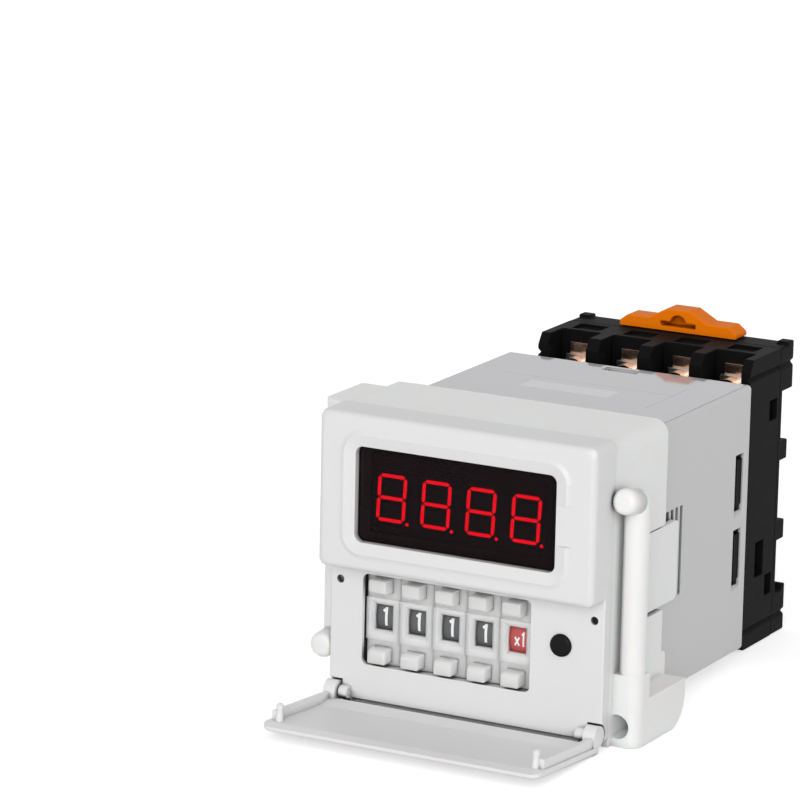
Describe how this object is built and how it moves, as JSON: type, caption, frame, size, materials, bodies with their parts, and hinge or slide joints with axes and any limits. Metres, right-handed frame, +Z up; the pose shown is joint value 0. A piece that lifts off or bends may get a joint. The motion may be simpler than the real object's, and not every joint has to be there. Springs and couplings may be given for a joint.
{
  "type": "panel counter",
  "caption": "Preset panel counter: white bezel with red digit display, pushwheel switches and open flip cover, grey case, spring mounting bracket and black plug-in rail socket.",
  "frame": {"origin": "centre of the panel cut-out, on the bezel's rear face", "axes": "+Y into the panel, towards the socket; +Z up; +X to the right seen from the front"},
  "size_m": [0.0576, 0.1021, 0.0543],
  "materials": {
    "bezel_white": "fine satin moulded plastic",
    "window_smoke": "dark tinted acrylic",
    "display_black": "matt black",
    "led_red": "lit red bars",
    "cover_grey": "satin light grey",
    "milky_plastic": "milky translucent",
    "milky_button": "milky translucent",
    "number_grey": "matt dark grey",
    "multiplier_red": "matt red",
    "button_black": "matt black",
    "board_green": "solder mask",
    "case_grey": "satin light grey",
    "label_film": "glossy film",
    "core_steel": "varnished laminations",
    "relay_blue": "moulded cover",
    "base_black": "satin black",
    "pin_metal": "nickel plate",
    "bracket_white": "waxy white",
    "socket_black": "satin black",
    "terminal_brass": "copper-toned plate",
    "clip_orange": "satin orange"
  },
  "bodies": {
    "counter": {"preset_cell_1": "milky_plastic", "preset_cell_2": "milky_plastic", "preset_cell_3": "milky_plastic", "preset_cell_4": "milky_plastic", "preset_cell_5": "milky_plastic", "bezel": "bezel_white", "display_lens": "window_smoke", "led_display": "display_black", "led_segments": "led_red", "reset_switch": "display_black", "display_board": "board_green", "code_boards": "board_green", "case_shell": "case_grey", "top_label": "label_film", "main_board": "board_green", "transformer": "core_steel", "relay": "relay_blue", "capacitor": "display_black", "plug_base": "base_black", "plug_pins": "pin_metal"},
    "cover": {"front_cover": "cover_grey"},
    "reset": {"reset_button": "button_black"},
    "bracket": {"mounting_bracket": "bracket_white"},
    "socket": {"socket_body": "socket_black", "socket_base": "socket_black", "contact_strips": "terminal_brass", "terminal_screws": "terminal_brass", "clamp_washers": "pin_metal", "pin_sleeves": "terminal_brass"},
    "clip": {"rail_clip": "clip_orange"},
    "wheel_1": {"number_wheel_1": "number_grey"},
    "plus_1": {"plus_button_1": "milky_button"},
    "minus_1": {"minus_button_1": "milky_button"},
    "wheel_2": {"number_wheel_2": "number_grey"},
    "plus_2": {"plus_button_2": "milky_button"},
    "minus_2": {"minus_button_2": "milky_button"},
    "wheel_3": {"number_wheel_3": "number_grey"},
    "plus_3": {"plus_button_3": "milky_button"},
    "minus_3": {"minus_button_3": "milky_button"},
    "wheel_4": {"number_wheel_4": "number_grey"},
    "plus_4": {"plus_button_4": "milky_button"},
    "minus_4": {"minus_button_4": "milky_button"},
    "wheel_5": {"number_wheel_5": "multiplier_red"},
    "plus_5": {"plus_button_5": "milky_button"},
    "minus_5": {"minus_button_5": "milky_button"}
  },
  "joints": [
    {"name": "cover_hinge", "type": "hinge", "parent": "counter", "child": "cover", "pos_m": [0, -0.0029, -0.02244], "axis": [-1, 0, 0], "range_deg": [0, 86]},
    {"name": "reset_press", "type": "slide", "parent": "counter", "child": "reset", "axis": [0, 1, 0], "range_m": [0, 0.0005], "stiffness_N_per_m": 800},
    {"name": "bracket_slide", "type": "slide", "parent": "counter", "child": "bracket", "axis": [0, 1, 0], "range_m": [0, 0.025]},
    {"name": "socket_pull", "type": "slide", "parent": "counter", "child": "socket", "axis": [0, 1, 0], "range_m": [0, 0.02]},
    {"name": "clip_slide", "type": "slide", "parent": "socket", "child": "clip", "axis": [0, 0, 1], "range_m": [0, 0.003], "stiffness_N_per_m": 500},
    {"name": "wheel_1_turn", "type": "hinge", "parent": "counter", "child": "wheel_1", "pos_m": [-0.01549, 0.00609, -0.00994], "axis": [1, 0, 0], "continuous": true},
    {"name": "plus_1_press", "type": "slide", "parent": "counter", "child": "plus_1", "axis": [0, 1, 0], "range_m": [0, 0.0008], "stiffness_N_per_m": 800},
    {"name": "minus_1_press", "type": "slide", "parent": "counter", "child": "minus_1", "axis": [0, 1, 0], "range_m": [0, 0.0008], "stiffness_N_per_m": 800},
    {"name": "wheel_2_turn", "type": "hinge", "parent": "counter", "child": "wheel_2", "pos_m": [-0.00949, 0.00609, -0.00994], "axis": [1, 0, 0], "continuous": true},
    {"name": "plus_2_press", "type": "slide", "parent": "counter", "child": "plus_2", "axis": [0, 1, 0], "range_m": [0, 0.0008], "stiffness_N_per_m": 800},
    {"name": "minus_2_press", "type": "slide", "parent": "counter", "child": "minus_2", "axis": [0, 1, 0], "range_m": [0, 0.0008], "stiffness_N_per_m": 800},
    {"name": "wheel_3_turn", "type": "hinge", "parent": "counter", "child": "wheel_3", "pos_m": [-0.00349, 0.00609, -0.00994], "axis": [1, 0, 0], "continuous": true},
    {"name": "plus_3_press", "type": "slide", "parent": "counter", "child": "plus_3", "axis": [0, 1, 0], "range_m": [0, 0.0008], "stiffness_N_per_m": 800},
    {"name": "minus_3_press", "type": "slide", "parent": "counter", "child": "minus_3", "axis": [0, 1, 0], "range_m": [0, 0.0008], "stiffness_N_per_m": 800},
    {"name": "wheel_4_turn", "type": "hinge", "parent": "counter", "child": "wheel_4", "pos_m": [0.00251, 0.00609, -0.00994], "axis": [1, 0, 0], "continuous": true},
    {"name": "plus_4_press", "type": "slide", "parent": "counter", "child": "plus_4", "axis": [0, 1, 0], "range_m": [0, 0.0008], "stiffness_N_per_m": 800},
    {"name": "minus_4_press", "type": "slide", "parent": "counter", "child": "minus_4", "axis": [0, 1, 0], "range_m": [0, 0.0008], "stiffness_N_per_m": 800},
    {"name": "wheel_5_turn", "type": "hinge", "parent": "counter", "child": "wheel_5", "pos_m": [0.00851, 0.00609, -0.00994], "axis": [1, 0, 0], "continuous": true},
    {"name": "plus_5_press", "type": "slide", "parent": "counter", "child": "plus_5", "axis": [0, 1, 0], "range_m": [0, 0.0008], "stiffness_N_per_m": 800},
    {"name": "minus_5_press", "type": "slide", "parent": "counter", "child": "minus_5", "axis": [0, 1, 0], "range_m": [0, 0.0008], "stiffness_N_per_m": 800}
  ]
}
